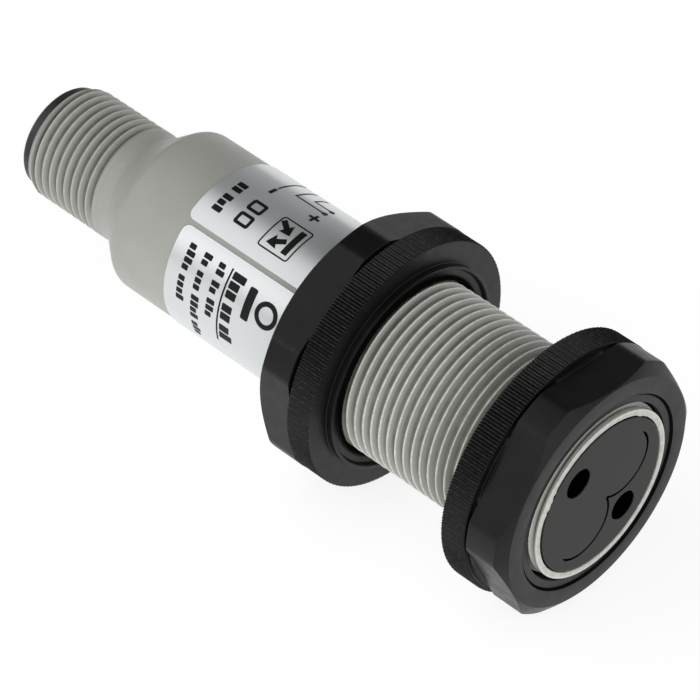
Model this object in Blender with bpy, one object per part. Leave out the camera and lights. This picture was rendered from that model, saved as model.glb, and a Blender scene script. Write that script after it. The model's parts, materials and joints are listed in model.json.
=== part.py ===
"""Cylindrical photoelectric sensor: M18 x 1 barrel, two fixing nuts, optics, electronics and an M12 plug.

Frame: the origin is the centre of the sensing face, +X points out of that face towards the target, +Z is up.
Stations along the barrel are depths behind the face, so a depth d lies at x = -d.
Everything but the nuts hangs on one empty, rolled about X so that its Y axis runs from receiver to emitter.
"""

import math

import bmesh
import bpy

MM = 0.001

# Threads: metric fine, right-handed. The shape is (share of the pitch, share of the thread's height).
THREAD_PITCH = 1.0 * MM
THREAD_HEIGHT = 0.56 * MM
THREAD_SHAPE = ((0.0, 1.0), (0.25, 1.0), (0.625, 0.0))
CLEARANCE = 0.05 * MM                       # between pieces that touch on the real object
SHARP_ANGLE = math.radians(50)              # faces that meet at less than this shade as one round surface

# Barrel housing
ROLL_ANGLE = math.radians(130.2)            # direction of the emitter, from +Y towards +Z
BARREL_SIDES = 24
BARREL_CREST_RADIUS = 8.95 * MM             # M18 thread, over the crests
FRONT_LAND_RADIUS = 8.69 * MM               # plain ring in front of the thread
FRONT_CHAMFER = 0.1 * MM
BARREL_THREAD = (0.15 * MM, 29.3 * MM)      # depths where the thread's band starts and ends
BODY_RADIUS = 8.55 * MM                     # smooth length that carries the label
SHOULDER_DEPTH = 53.45 * MM                 # where the smooth length starts to round off
SHOULDER_CONE = math.radians(38)
SHOULDER_ROUND = 1.2 * MM
NECK_FILLET = 1.8 * MM
NECK_RADIUS = 5.85 * MM
ARC_STEPS = 4
PLUG_THREAD = (58.4 * MM, 68.4 * MM)
PLUG_CREST_RADIUS = 5.95 * MM               # M12 thread, over the crests
PLUG_END_RADIUS = 5.6 * MM
SLEEVE_END = 68.5 * MM
SEAT_RADIUS = 8.05 * MM
SEAT_DEPTH = 3.0 * MM
BORE_RADIUS = 7.3 * MM
BORE_END = 51.0 * MM
SLEEVE_BORE_RADIUS = 4.95 * MM
SLEEVE_BORE_START = 54.4 * MM

# Sensing face: a disc with two holes and a fine dividing groove, and the seal behind it
DISC_RADIUS = 7.95 * MM
DISC_THICKNESS = 2.2 * MM
DISC_CHAMFER = 0.12 * MM
APERTURE_OFFSET = 5.0 * MM
APERTURE_RADIUS = 1.48 * MM
GROOVE_RADIUS = 0.09 * MM
GROOVE_ARC_RADIUS = 3.3 * MM
GROOVE_CENTRE = (-0.45 * MM, 3.2 * MM)      # of the arc on the +Z side of the rolled frame
GROOVE_END_ANGLE = math.radians(84)
SEAL_RING_RADIUS = 7.58 * MM
SEAL_CORD_RADIUS = 0.35 * MM

# Optics holder and the two 3 mm opto devices in it
HOLDER_RADIUS = 7.15 * MM
HOLDER_DEPTHS = (2.3 * MM, 11.5 * MM)
DEVICE_BORE_RADIUS = 1.62 * MM
FLANGE_BORE_RADIUS = 2.05 * MM
FLANGE_BORE_DEPTH = 7.6 * MM
DEVICE_RADIUS = 1.5 * MM
DEVICE_TIP_DEPTH = 3.4 * MM
DEVICE_FLANGE_RADIUS = 1.9 * MM
DEVICE_FLANGE = (7.7 * MM, 8.7 * MM)
LEAD_RADIUS = 0.25 * MM
LEAD_OFFSET = 0.9 * MM
LEAD_END_DEPTH = 15.5 * MM
BOARD_SLOT = 1.2 * MM

# Circuit board and its components
BOARD_DEPTHS = (10.2 * MM, 48.5 * MM)
BOARD_WIDTH = 12.4 * MM
BOARD_THICKNESS = 1.0 * MM
BOARD_CORNER = 1.0 * MM
LEG_WIDTH = 0.42 * MM
LEG_THICKNESS = 0.2 * MM
LEG_REACH = 0.95 * MM

# Plug: black insert, four contacts, their wires and the resin behind them
INSERT_DEPTHS = (56.2 * MM, 69.6 * MM)
INSERT_RADIUS = 4.85 * MM
INSERT_RIM_RADIUS = 5.39 * MM
INSERT_RIM_DEPTH = 68.55 * MM
SOCKET_RADIUS = 4.35 * MM
SOCKET_FLOOR = 61.0 * MM
KEY_WIDTH = 1.1 * MM
KEY_HEIGHT = 0.6 * MM
CONTACT_OFFSET = 2.0 * MM                   # contacts stand at the corners of a 4 mm square
CONTACT_RADIUS = 0.5 * MM
CONTACT_CUP_RADIUS = 0.75 * MM
CONTACT_CUP = (54.0 * MM, 56.1 * MM)
CONTACT_TIP = 68.3 * MM
WIRE_RADIUS = 0.55 * MM
WIRE_START = 44.5 * MM
WIRE_SPREAD = 2.8 * MM
WIRE_BEND_STEPS = 6
RESIN_DEPTHS = (49.4 * MM, 55.9 * MM)
RESIN_GAP = 0.08 * MM

# Label: a film wrapped round the smooth length, whose ends nearly meet
LABEL_DEPTHS = (29.7 * MM, 47.0 * MM)
LABEL_RADIUS = 8.58 * MM
LABEL_THICKNESS = 0.08 * MM
LABEL_GAP_ANGLE = math.radians(3.4)
LABEL_GAP_CENTRE = math.radians(-3.3)       # in the rolled frame

# Nuts: a hexagon with turned corners, and a round collar with a raised ring that clamps
NUT_HALF_FLATS = 11.98 * MM
NUT_CORNER_RADIUS = 13.0 * MM
NUT_FACE_RADIUS = 11.85 * MM
NUT_CONE = math.radians(35)
NUT_COLLAR_RADIUS = 12.95 * MM
NUT_THICKNESS = 7.8 * MM                    # from the hexagon's face to the top of the raised ring
NUT_HEX_HEIGHT = 4.05 * MM
NUT_BORE_RADIUS = 9.12 * MM                 # runs clear over the thread's crests
NUT_RING_HEIGHT = 0.7 * MM                  # of the raised ring over the collar's face
NUT_RING_RADIUS = 10.6 * MM
NUT_FACE_RECESS = (10.13 * MM, 0.22 * MM)   # radius and depth of the counterbore in the hexagon's face
NUT_RING_RECESS = (10.3 * MM, 0.45 * MM)    # and of that in the raised ring
NUT_RECESS_SLOPE = 0.2 * MM                 # by which a counterbore narrows towards its floor
NUT_SHARP_ANGLE = math.radians(20)
NUT_FLAT_STEPS = 4
NUT_CORNER_STEPS = 3
FRONT_NUT_DEPTH = 0.28 * MM                 # depth of the front nut's hexagon face
FRONT_NUT_ROLL = math.radians(23.5)
REAR_NUT_DEPTH = 30.75 * MM                 # depth of the rear nut's hexagon face
REAR_NUT_ROLL = math.radians(-4.1)


def mm(*values):
    return tuple(value * MM for value in values)


def clear_scene():
    for item in list(bpy.data.objects):
        bpy.data.objects.remove(item, do_unlink=True)


def material(name, colour, roughness, metallic=0.0):
    made = bpy.data.materials.new(name)
    made.use_nodes = True
    shader = made.node_tree.nodes["Principled BSDF"]
    shader.inputs["Base Color"].default_value = (*colour, 1.0)
    shader.inputs["Roughness"].default_value = roughness
    shader.inputs["Metallic"].default_value = metallic
    return made


def add_object(name, data, parent, finish=None):
    made = bpy.data.objects.new(name, data)
    bpy.context.scene.collection.objects.link(made)
    made.parent = parent
    if finish:
        data.materials.append(finish)
    return made


def mesh_from(bm, name, sharp_angle=SHARP_ANGLE):
    """Turns a bmesh into a mesh with outward faces, smooth where the surface is round."""
    bmesh.ops.recalc_face_normals(bm, faces=bm.faces)
    mesh = bpy.data.meshes.new(name)
    bm.to_mesh(mesh)
    bm.free()
    mesh.shade_smooth()
    mesh.set_sharp_from_angle(angle=sharp_angle)
    return mesh


def cut(target, cutter, operation="DIFFERENCE"):
    """Joins or cuts target with another object, which is then only a guide."""
    modifier = target.modifiers.new(cutter.name, "BOOLEAN")
    modifier.object = cutter
    modifier.operation = operation
    modifier.solver = "EXACT"
    cutter.hide_render = True
    cutter.display_type = "WIRE"


class TurnedSkin:
    """Rings of vertices round the X axis, bridged with quads. Columns run against a right-hand turn."""

    def __init__(self, sides):
        self.bm = bmesh.new()
        self.sides = sides

    def vertex(self, depth, radius, column):
        angle = -2 * math.pi * column / self.sides
        return self.bm.verts.new((-depth, radius * math.cos(angle), radius * math.sin(angle)))

    def ring(self, depth, radius):
        return [self.vertex(depth, radius, column) for column in range(self.sides)]

    def bridge(self, first, second):
        for column in range(self.sides):
            beyond = (column + 1) % self.sides
            self.bm.faces.new((first[column], first[beyond], second[beyond], second[column]))

    def run(self, profile, start=None):
        """Bridges rings along (depth, radius) points, from a ring that may already be there."""
        rings = [start] if start else []
        for depth, radius in profile:
            rings.append(self.ring(depth, radius))
            if len(rings) > 1:
                self.bridge(rings[-2], rings[-1])
        return rings[0], rings[-1]

    def cap(self, ring):
        self.bm.faces.new(ring)

    def thread(self, start, span, crest_radius, end_radius):
        """Grows a helical thread from ring start, which is its land, to a ring at the span's end."""
        start_radius = math.hypot(start[0].co.y, start[0].co.z)
        grid = thread_grid(self, span, crest_radius, start_radius, end_radius)
        end = self.ring(span[1], end_radius)
        close_helix(self, start, end, grid)
        return end


def thread_grid(skin, span, crest_radius, start_radius, end_radius):
    """Columns of vertices along the helix. Column 0 holds one more pitch, where the last column meets it."""
    points = len(THREAD_SHAPE)
    turns = int((span[1] - span[0]) / THREAD_PITCH) - 1
    first = span[0] + (span[1] - span[0] - (turns + 1) * THREAD_PITCH) / 2
    middle = sum(span) / 2
    columns = []
    for column in range(skin.sides):
        rows = turns * points + 1 + (points if column == 0 else 0)
        made = []
        for row in range(rows):
            share, height = THREAD_SHAPE[row % points]
            depth = first + THREAD_PITCH * (row // points + share + column / skin.sides)
            in_start = (depth - first) / THREAD_PITCH - 1
            in_end = (first + (turns + 1) * THREAD_PITCH - depth) / THREAD_PITCH - 1
            fade = max(0.0, min(1.0, in_start, in_end))
            land = start_radius if depth < middle else end_radius
            full = crest_radius - (1 - height) * THREAD_HEIGHT
            made.append(skin.vertex(depth, land + (full - land) * fade, column))
        columns.append(made)
    return columns


def close_helix(skin, start, end, grid):
    """Faces of a helical grid, and of the two stepped strips that join it to plain rings."""
    points = len(THREAD_SHAPE)
    last_row = len(grid[1]) - 1
    last = skin.sides - 1
    for column in range(skin.sides):
        shift = points if column == last else 0
        beyond = grid[(column + 1) % skin.sides]
        here = grid[column]
        for row in range(last_row):
            skin.bm.faces.new((here[row], beyond[row + shift], beyond[row + shift + 1], here[row + 1]))
    for column in range(last):
        skin.bm.faces.new((start[column], start[column + 1], grid[column + 1][0], grid[column][0]))
    skin.bm.faces.new([start[last], start[0]] + grid[0][:points + 1] + [grid[last][0]])
    skin.bm.faces.new([grid[1][last_row], end[1], end[0]] + grid[0][last_row:][::-1])
    for column in range(1, last):
        skin.bm.faces.new((grid[column][last_row], grid[column + 1][last_row], end[column + 1], end[column]))
    skin.bm.faces.new((grid[last][last_row], grid[0][-1], end[0], end[last]))


def turned_mesh(name, profile, sides):
    """A solid of revolution from an open profile, capped with flat polygons at both ends."""
    skin = TurnedSkin(sides)
    first, last = skin.run(profile)
    skin.cap(first)
    skin.cap(last)
    return mesh_from(skin.bm, name)


def tube_mesh(name, profile, sides):
    """A solid of revolution from a closed profile that stays off the axis."""
    skin = TurnedSkin(sides)
    first, last = skin.run(profile)
    skin.bridge(last, first)
    return mesh_from(skin.bm, name)


def lofted_mesh(name, loops):
    """A solid skinned over equal loops of points, and closed by the first and last loop."""
    bm = bmesh.new()
    rings = [[bm.verts.new(point) for point in loop] for loop in loops]
    for first, second in zip(rings, rings[1:]):
        for corner in range(len(first)):
            beyond = (corner + 1) % len(first)
            bm.faces.new((first[corner], first[beyond], second[beyond], second[corner]))
    bm.faces.new(rings[0])
    bm.faces.new(rings[-1])
    return mesh_from(bm, name)


def box_mesh(name, size, bevel=0.0):
    bm = bmesh.new()
    bmesh.ops.create_cube(bm, size=1.0)
    bmesh.ops.scale(bm, vec=size, verts=bm.verts)
    if bevel:
        bmesh.ops.bevel(bm, geom=list(bm.edges), offset=bevel, segments=1, affect="EDGES")
    return mesh_from(bm, name)


def rod(name, parent, centre, radius, depths, sides=12):
    """A plain round bar along X, used as a cutter or a lead."""
    profile = [(depth, radius) for depth in depths]
    made = add_object(name, turned_mesh(name, profile, sides), parent)
    made.location = (0.0, *centre)
    return made


def arc(depth, radius, along, outwards, angles):
    """(depth, radius) points on an arc that leaves a line parallel to the axis at the given point."""
    return [(depth + along * math.sin(angle), radius + outwards * (1 - math.cos(angle))) for angle in angles]


def shoulder_profile():
    """Rounded edge, cone and fillet between the smooth length and the plug's neck."""
    cone_start = BODY_RADIUS - SHOULDER_ROUND * (1 - math.cos(SHOULDER_CONE))
    cone_end = NECK_RADIUS + NECK_FILLET * (1 - math.cos(SHOULDER_CONE))
    cone_length = (cone_start - cone_end) / math.tan(SHOULDER_CONE)
    neck_depth = SHOULDER_DEPTH + (SHOULDER_ROUND + NECK_FILLET) * math.sin(SHOULDER_CONE) + cone_length
    angles = [SHOULDER_CONE * step / ARC_STEPS for step in range(ARC_STEPS + 1)]
    rounded = arc(SHOULDER_DEPTH, BODY_RADIUS, SHOULDER_ROUND, -SHOULDER_ROUND, angles)
    fillet = arc(neck_depth, NECK_RADIUS, -NECK_FILLET, NECK_FILLET, angles[::-1])
    return rounded + fillet


def build_housing(frame):
    """One moulding: seat for the disc, M18 thread, smooth length, shoulder, neck and M12 sleeve."""
    skin = TurnedSkin(BARREL_SIDES)
    front = [(0.0, SEAT_RADIUS), (0.0, FRONT_LAND_RADIUS - FRONT_CHAMFER), (FRONT_CHAMFER, FRONT_LAND_RADIUS)]
    inner_edge, land = skin.run(front)
    body = skin.thread(land, BARREL_THREAD, BARREL_CREST_RADIUS, BODY_RADIUS)
    outside = shoulder_profile() + [(PLUG_THREAD[0], NECK_RADIUS)]
    neck = skin.run(outside, body)[1]
    sleeve = skin.thread(neck, PLUG_THREAD, PLUG_CREST_RADIUS, PLUG_END_RADIUS)
    inside = [
        (SLEEVE_END, PLUG_END_RADIUS),
        (SLEEVE_END, SLEEVE_BORE_RADIUS),
        (SLEEVE_BORE_START, SLEEVE_BORE_RADIUS),
        (BORE_END, BORE_RADIUS),
        (SEAT_DEPTH, BORE_RADIUS),
        (SEAT_DEPTH, SEAT_RADIUS),
    ]
    skin.bridge(skin.run(inside, sleeve)[1], inner_edge)
    finish = material("grey_housing", (0.42, 0.42, 0.38), 0.5)
    add_object("barrel_housing", mesh_from(skin.bm, "barrel_housing"), frame, finish)


def mesh_from_curve(curve):
    """The solid that a bevelled curve makes, as a mesh, because a Boolean takes no curve."""
    holder = bpy.data.objects.new(curve.name, curve)
    mesh = bpy.data.meshes.new_from_object(holder)
    bpy.data.objects.remove(holder)
    bm = bmesh.new()
    bm.from_mesh(mesh)
    bmesh.ops.remove_doubles(bm, verts=bm.verts, dist=0.001 * MM)
    return mesh_from(bm, curve.name)


def groove_cutter(frame, side):
    """A round bar bent along one of the two arcs that meet in a cusp near the disc's centre."""
    across, along = GROOVE_CENTRE
    cusp_angle = -math.asin(along / GROOVE_ARC_RADIUS)
    steps = 12
    curve = bpy.data.curves.new("groove", "CURVE")
    curve.dimensions = "3D"
    curve.bevel_depth = GROOVE_RADIUS
    curve.bevel_resolution = 1
    curve.use_fill_caps = True
    spline = curve.splines.new("POLY")
    spline.points.add(steps)
    for step, point in enumerate(spline.points):
        angle = cusp_angle + (GROOVE_END_ANGLE - cusp_angle) * step / steps
        y = across - GROOVE_ARC_RADIUS * math.cos(angle)
        z = side * (along + GROOVE_ARC_RADIUS * math.sin(angle))
        point.co = (0.0, y, z, 1.0)
    return add_object("groove_cutter", mesh_from_curve(curve), frame)


def build_disc(frame):
    finish = material("dark_disc", (0.05, 0.05, 0.047), 0.25)
    profile = [(0.0, DISC_RADIUS - DISC_CHAMFER), (DISC_CHAMFER, DISC_RADIUS), (DISC_THICKNESS, DISC_RADIUS)]
    disc = add_object("front_disc", turned_mesh("front_disc", profile, BARREL_SIDES), frame, finish)
    for side in (-1, 1):
        hole = rod("aperture", frame, (side * APERTURE_OFFSET, 0.0), APERTURE_RADIUS, (-MM, 4 * MM), 20)
        cut(disc, hole)
        cut(disc, groove_cutter(frame, side))


def build_seal(frame):
    finish = material("seal_rubber", (0.02, 0.02, 0.02), 0.7)
    depth = (DISC_THICKNESS + SEAT_DEPTH) / 2
    angles = [2 * math.pi * step / 8 for step in range(8)]
    profile = [(depth + SEAL_CORD_RADIUS * math.sin(a), SEAL_RING_RADIUS + SEAL_CORD_RADIUS * math.cos(a))
               for a in angles]
    add_object("disc_seal", tube_mesh("disc_seal", profile, BARREL_SIDES), frame, finish)


def build_holder(frame):
    """A black block that keeps emitter and receiver apart and grips the board's front edge."""
    finish = material("holder_plastic", (0.015, 0.015, 0.016), 0.6)
    profile = [(depth, HOLDER_RADIUS) for depth in HOLDER_DEPTHS]
    holder = add_object("optics_holder", turned_mesh("optics_holder", profile, BARREL_SIDES), frame, finish)
    beyond = HOLDER_DEPTHS[1] + MM
    for side in (-1, 1):
        centre = (side * APERTURE_OFFSET, 0.0)
        cut(holder, rod("device_bore", frame, centre, DEVICE_BORE_RADIUS, (MM, beyond), 16))
        cut(holder, rod("flange_bore", frame, centre, FLANGE_BORE_RADIUS, (FLANGE_BORE_DEPTH, beyond), 16))
    slot_depth = beyond - (BOARD_DEPTHS[0] - 2 * CLEARANCE)
    slot = add_object("board_slot", box_mesh("board_slot", (slot_depth, 2 * BORE_RADIUS, BOARD_SLOT)), frame)
    slot.location.x = slot_depth / 2 - beyond
    cut(holder, slot)


def build_device(name, side, frame, colour):
    """A 3 mm dome package with a flange and two leads, standing behind its hole in the disc."""
    dome_base = DEVICE_TIP_DEPTH + DEVICE_RADIUS
    dome = [(dome_base - DEVICE_RADIUS * math.cos(a), DEVICE_RADIUS * math.sin(a))
            for a in (math.radians(15 + 15 * step) for step in range(6))]
    flange = [
        (DEVICE_FLANGE[0], DEVICE_RADIUS),
        (DEVICE_FLANGE[0], DEVICE_FLANGE_RADIUS),
        (DEVICE_FLANGE[1], DEVICE_FLANGE_RADIUS),
    ]
    device = add_object(name, turned_mesh(name, dome + flange, 16), frame, material(name, colour, 0.15))
    device.location.y = side * APERTURE_OFFSET
    for lead_side in (-1, 1):
        centre = (side * APERTURE_OFFSET, lead_side * LEAD_OFFSET)
        lead = rod("lead", frame, centre, LEAD_RADIUS, (DEVICE_FLANGE[0] + 0.4 * MM, LEAD_END_DEPTH), 8)
        cut(device, lead, "UNION")


def build_board(frame):
    """Glass-fibre board with rounded corners, in the plane of the two opto devices."""
    length = BOARD_DEPTHS[1] - BOARD_DEPTHS[0]
    bm = bmesh.new()
    bmesh.ops.create_cube(bm, size=1.0)
    bmesh.ops.scale(bm, vec=(length, BOARD_WIDTH, BOARD_THICKNESS), verts=bm.verts)
    upright = [edge for edge in bm.edges if edge.verts[0].co.z * edge.verts[1].co.z < 0]
    bmesh.ops.bevel(bm, geom=upright, offset=BOARD_CORNER, segments=3, affect="EDGES", profile=0.5)
    finish = material("board", (0.02, 0.16, 0.06), 0.4)
    board = add_object("main_board", mesh_from(bm, "main_board"), frame, finish)
    board.location.x = -sum(BOARD_DEPTHS) / 2


def leg_mesh(height, reach, width):
    """A bent leg: out of the package at mid height, down to the board and out along it, as one ribbon."""
    thickness = LEG_THICKNESS
    outline = [
        (-0.3 * MM, height / 2), (reach * 0.45, height / 2), (reach * 0.45, thickness), (reach, thickness),
        (reach, 0.0), (reach * 0.45 - thickness, 0.0), (reach * 0.45 - thickness, height / 2 - thickness),
        (-0.3 * MM, height / 2 - thickness),
    ]
    bm = bmesh.new()
    face = bm.faces.new([bm.verts.new((-width / 2, y, z)) for y, z in outline])
    swept = bmesh.ops.extrude_face_region(bm, geom=[face])["geom"]
    far_side = [item for item in swept if isinstance(item, bmesh.types.BMVert)]
    bmesh.ops.translate(bm, vec=(width, 0.0, 0.0), verts=far_side)
    return mesh_from(bm, "leg")


def build_chip(name, frame, depth, across, size, legs, face=1):
    """A moulded package on one face of the board; legs lists the leg places along each of its two sides."""
    length, width, height = size
    standoff = 0.1 * MM
    base = face * (BOARD_THICKNESS / 2 + CLEARANCE)
    finish = material(name, (0.03, 0.03, 0.032), 0.5)
    chip = add_object(name, box_mesh(name, (length, width, height), 0.12 * MM), frame, finish)
    chip.location = (-depth, across, base + face * (standoff + height / 2))
    for side, places in zip((-1, 1), legs):
        for place in places:
            leg = add_object(f"{name}_leg", leg_mesh(height, LEG_REACH, LEG_WIDTH), frame)
            leg.scale = (1.0, side, face)
            leg.location = (-depth + place, across + side * width / 2, base)
            cut(chip, leg, "UNION")


def build_terminated(name, frame, depth, across, size, colour, face=1):
    """A two-terminal part lying along the barrel: a body between two slightly larger end caps."""
    length, width, height = size
    end, waist, step = length / 2, length * 0.3, 0.06 * MM
    stations = [(-end, 0.0), (-waist, 0.0), (-waist, step), (waist, step), (waist, 0.0), (end, 0.0)]
    corners = [(-0.5, -0.5), (0.5, -0.5), (0.5, 0.5), (-0.5, 0.5)]
    loops = [[(x, (width - 2 * inset) * y, (height - 2 * inset) * z) for y, z in corners]
             for x, inset in stations]
    made = add_object(name, lofted_mesh(name, loops), frame, material(name, colour, 0.5))
    made.location = (-depth, across, face * (BOARD_THICKNESS / 2 + CLEARANCE + height / 2))


def build_components(frame):
    """Chips and two-terminal parts in standard package sizes. Face 1 is the board's +Z side."""
    row_of_four = mm(-1.905, -0.635, 0.635, 1.905)
    three_legs = (mm(-0.95, 0.95), (0.0,))
    black, tan, orange = (0.03, 0.03, 0.03), (0.4, 0.28, 0.18), (0.6, 0.35, 0.05)
    small_outline, resistor = mm(4.9, 3.9, 1.45), mm(1.6, 0.8, 0.5)
    build_chip("sensor_ic", frame, 22 * MM, 0.0, small_outline, (row_of_four, row_of_four))
    build_chip("voltage_regulator", frame, 30 * MM, 2.5 * MM, mm(2.9, 1.4, 1.0), three_legs)
    build_chip("output_transistor", frame, 36 * MM, 0.0, mm(4.5, 2.5, 1.5), three_legs, -1)
    build_terminated("protection_diode", frame, 39 * MM, 0.0, mm(4.3, 2.6, 2.1), black)
    build_terminated("storage_capacitor", frame, 28 * MM, 0.0, mm(3.5, 2.8, 1.9), orange, -1)
    build_terminated("filter_capacitor", frame, 30 * MM, -2.5 * MM, mm(2.0, 1.25, 0.9), tan)
    build_terminated("gain_resistor", frame, 17 * MM, 1.2 * MM, resistor, black)
    build_terminated("limit_resistor", frame, 17 * MM, -1.2 * MM, resistor, black)


def contact_places():
    """Corners of the contacts' square, in the order of the plug's pin numbers."""
    return [(y * CONTACT_OFFSET, z * CONTACT_OFFSET) for y, z in ((-1, 1), (1, 1), (1, -1), (-1, -1))]


def build_insert(frame):
    """Black plug insert: a floor that holds the contacts, a lining wall with the coding key, and a rim."""
    finish = material("insert_plastic", (0.012, 0.012, 0.012), 0.45)
    skin = TurnedSkin(BARREL_SIDES)
    profile = [
        (INSERT_DEPTHS[0], INSERT_RADIUS),
        (INSERT_RIM_DEPTH, INSERT_RADIUS),
        (INSERT_RIM_DEPTH, INSERT_RIM_RADIUS),
        (INSERT_DEPTHS[1], INSERT_RIM_RADIUS),
        (INSERT_DEPTHS[1], SOCKET_RADIUS),
        (SOCKET_FLOOR, SOCKET_RADIUS),
    ]
    front, floor = skin.run(profile)
    skin.cap(front)
    skin.cap(floor)
    insert = add_object("connector_insert", mesh_from(skin.bm, "connector_insert"), frame, finish)
    key_length = INSERT_RIM_DEPTH - SOCKET_FLOOR + MM
    key = add_object("coding_key", box_mesh("coding_key", (key_length, KEY_WIDTH, KEY_HEIGHT * 1.5)), frame)
    key.location = (-(SOCKET_FLOOR - MM + key_length / 2), 0.0, SOCKET_RADIUS - KEY_HEIGHT / 4)
    cut(insert, key, "UNION")
    bore_depths = (INSERT_DEPTHS[0] - MM, SOCKET_FLOOR + 3 * MM)
    for centre in contact_places():
        cut(insert, rod("contact_bore", frame, centre, CONTACT_RADIUS + CLEARANCE, bore_depths, 10))


def build_contacts(frame):
    """Four turned contacts: a solder cup behind the insert, a shank through it and a tapered tip."""
    finish = material("contact_gold", (0.83, 0.62, 0.28), 0.25, 1.0)
    taper = 0.5 * MM
    profile = [
        (CONTACT_CUP[0], CONTACT_CUP_RADIUS),
        (CONTACT_CUP[1], CONTACT_CUP_RADIUS),
        (CONTACT_CUP[1], CONTACT_RADIUS),
        (CONTACT_TIP - taper, CONTACT_RADIUS),
        (CONTACT_TIP, CONTACT_RADIUS * 0.5),
    ]
    shared = turned_mesh("contact", profile, 10)
    shared.materials.append(finish)
    for number, centre in enumerate(contact_places(), 1):
        contact = add_object(f"contact_pin_{number}", shared, frame)
        contact.location = (0.0, *centre)


def wire_curve(name, centre, radius, start, end):
    """A round wire from the board's face to its contact, straight at both ends and smooth in between."""
    board_y = math.copysign(WIRE_SPREAD, centre[0])
    board_z = math.copysign(BOARD_THICKNESS / 2 + WIRE_RADIUS + 2 * CLEARANCE, centre[1])
    curve = bpy.data.curves.new(name, "CURVE")
    curve.dimensions = "3D"
    curve.bevel_depth = radius
    curve.bevel_resolution = 2
    curve.use_fill_caps = True
    spline = curve.splines.new("POLY")
    bend_start = BOARD_DEPTHS[1] + 0.5 * MM
    bend_length = CONTACT_CUP[0] - 0.4 * MM - bend_start
    bend = [bend_start + bend_length * step / WIRE_BEND_STEPS for step in range(WIRE_BEND_STEPS + 1)]
    stations = [start] + bend + [end]
    spline.points.add(len(stations) - 1)
    for depth, point in zip(stations, spline.points):
        share = max(0.0, min(1.0, (depth - bend_start) / bend_length))
        ease = share * share * (3 - 2 * share)
        y = board_y + (centre[0] - board_y) * ease
        z = board_z + (centre[1] - board_z) * ease
        point.co = (-depth, y, z, 1.0)
    return curve


def build_wires(frame):
    colours = {
        "wire_brown": (0.16, 0.06, 0.02),
        "wire_white": (0.8, 0.8, 0.78),
        "wire_blue": (0.02, 0.08, 0.4),
        "wire_black": (0.015, 0.015, 0.015),
    }
    end = CONTACT_CUP[0] - CLEARANCE
    for (name, colour), centre in zip(colours.items(), contact_places()):
        curve = wire_curve(name, centre, WIRE_RADIUS, WIRE_START, end)
        add_object(name, curve, frame, material(name, colour, 0.45))


def build_resin(frame):
    """Potting resin that seals the rear of the barrel round the wires and the contacts' cups."""
    wall = BORE_RADIUS - RESIN_GAP
    profile = [
        (RESIN_DEPTHS[0], wall),
        (BORE_END - RESIN_GAP, wall),
        (SLEEVE_BORE_START - RESIN_GAP, SLEEVE_BORE_RADIUS - RESIN_GAP),
        (RESIN_DEPTHS[1], SLEEVE_BORE_RADIUS - RESIN_GAP),
    ]
    finish = material("potting_resin", (0.03, 0.03, 0.035), 0.3)
    resin = add_object("potting_plug", turned_mesh("potting_plug", profile, BARREL_SIDES), frame, finish)
    for centre in contact_places():
        radius = WIRE_RADIUS + RESIN_GAP
        path = wire_curve("wire_path", centre, radius, RESIN_DEPTHS[0] - MM, CONTACT_CUP[0])
        cut(resin, add_object("wire_path", mesh_from_curve(path), frame))
        cup = (CONTACT_CUP[0] - 2 * RESIN_GAP, RESIN_DEPTHS[1] + MM)
        cut(resin, rod("cup_room", frame, centre, CONTACT_CUP_RADIUS + RESIN_GAP, cup, 10))


def build_label(frame):
    """A thin film round the smooth length, with its corners over the barrel's, so that the gap stays even."""
    start = LABEL_GAP_CENTRE + LABEL_GAP_ANGLE / 2
    end = LABEL_GAP_CENTRE - LABEL_GAP_ANGLE / 2 + 2 * math.pi
    corners = [2 * math.pi * column / BARREL_SIDES for column in range(BARREL_SIDES + 1)]
    angles = [start] + [angle for angle in corners if start < angle < end] + [end]
    front, rear = LABEL_DEPTHS
    outer = LABEL_RADIUS + LABEL_THICKNESS
    section = [(front, LABEL_RADIUS), (rear, LABEL_RADIUS), (rear, outer), (front, outer)]
    loops = [[(-depth, radius * math.cos(angle), radius * math.sin(angle)) for depth, radius in section]
             for angle in angles]
    finish = material("label_film", (0.75, 0.76, 0.77), 0.3, 0.6)
    add_object("label", lofted_mesh("label", loops), frame, finish)


def nut_columns():
    """(angle, radius) of the hexagon with turned corners, counter-clockwise, starting at a flat's edge."""
    half_flat = math.acos(NUT_HALF_FLATS / NUT_CORNER_RADIUS)
    half_corner = math.pi / 6 - half_flat
    columns = []
    for side in range(6):
        middle = side * math.pi / 3
        for step in range(NUT_FLAT_STEPS):
            offset = half_flat * (2 * step / NUT_FLAT_STEPS - 1)
            columns.append((middle + offset, NUT_HALF_FLATS / math.cos(offset)))
        for step in range(NUT_CORNER_STEPS):
            offset = half_flat + 2 * half_corner * step / NUT_CORNER_STEPS
            columns.append((middle + offset, NUT_CORNER_RADIUS))
    return columns


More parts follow.
